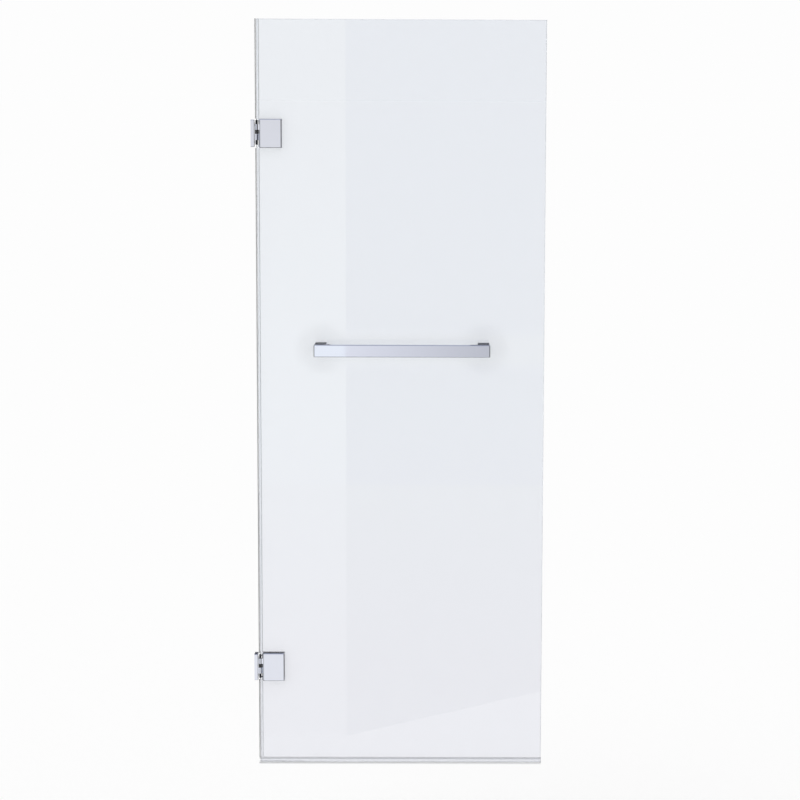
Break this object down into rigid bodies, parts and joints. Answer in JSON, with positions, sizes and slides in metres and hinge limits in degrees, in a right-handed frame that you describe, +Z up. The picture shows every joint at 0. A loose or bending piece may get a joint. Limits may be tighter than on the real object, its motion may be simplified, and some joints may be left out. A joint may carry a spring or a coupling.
{
  "type": "pivot tub door",
  "caption": "Frameless clear glass tub door on wall pivot hinges, with clear edge seal, bottom sweep and a flat chrome towel bar.",
  "frame": {"origin": "middle of the lower wall bracket's wall face, on the mid-plane of the glass", "axes": "+X out from the wall along the closed door to its free edge, +Z up, -Y towards the side with the towel bar"},
  "size_m": [0.5715, 0.065, 1.475],
  "materials": {
    "clear_glass": "polished clear tempered glass",
    "chrome": "polished chrome plate",
    "steel": "turned stainless steel",
    "black_steel": "blackened steel pin",
    "black_nylon": "moulded black nylon",
    "clear_gasket": "translucent soft plastic",
    "clear_vinyl": "clear extruded vinyl"
  },
  "bodies": {
    "wall_side": {"lower_wall_bracket": "chrome", "lower_hinge_pin": "black_steel", "upper_wall_bracket": "chrome", "upper_hinge_pin": "black_steel"},
    "door": {"glass_panel": "clear_glass", "edge_seal_upper": "clear_vinyl", "edge_seal_middle": "clear_vinyl", "edge_seal_lower": "clear_vinyl", "bottom_sweep": "clear_vinyl", "lower_hinge_body": "chrome", "lower_hinge_top_washer": "black_nylon", "lower_hinge_bottom_washer": "black_nylon", "lower_hinge_front_gasket": "clear_gasket", "lower_hinge_back_gasket": "clear_gasket", "lower_hinge_back_plate": "chrome", "lower_hinge_top_screw": "steel", "lower_hinge_bottom_screw": "steel", "upper_hinge_body": "chrome", "upper_hinge_top_washer": "black_nylon", "upper_hinge_bottom_washer": "black_nylon", "upper_hinge_front_gasket": "clear_gasket", "upper_hinge_back_gasket": "clear_gasket", "upper_hinge_back_plate": "chrome", "upper_hinge_top_screw": "steel", "upper_hinge_bottom_screw": "steel", "towel_bar": "chrome", "bar_post_left": "chrome", "bar_front_pad_left": "clear_gasket", "bar_sleeve_left": "clear_gasket", "bar_cap_screw_left": "chrome", "bar_post_right": "chrome", "bar_front_pad_right": "clear_gasket", "bar_sleeve_right": "clear_gasket", "bar_cap_screw_right": "chrome"}
  },
  "joints": [
    {"name": "door_swing", "type": "hinge", "parent": "wall_side", "child": "door", "pos_m": [0.0115, -0.0076, 0], "axis": [0, 0, -1], "range_deg": [0, 90]}
  ]
}
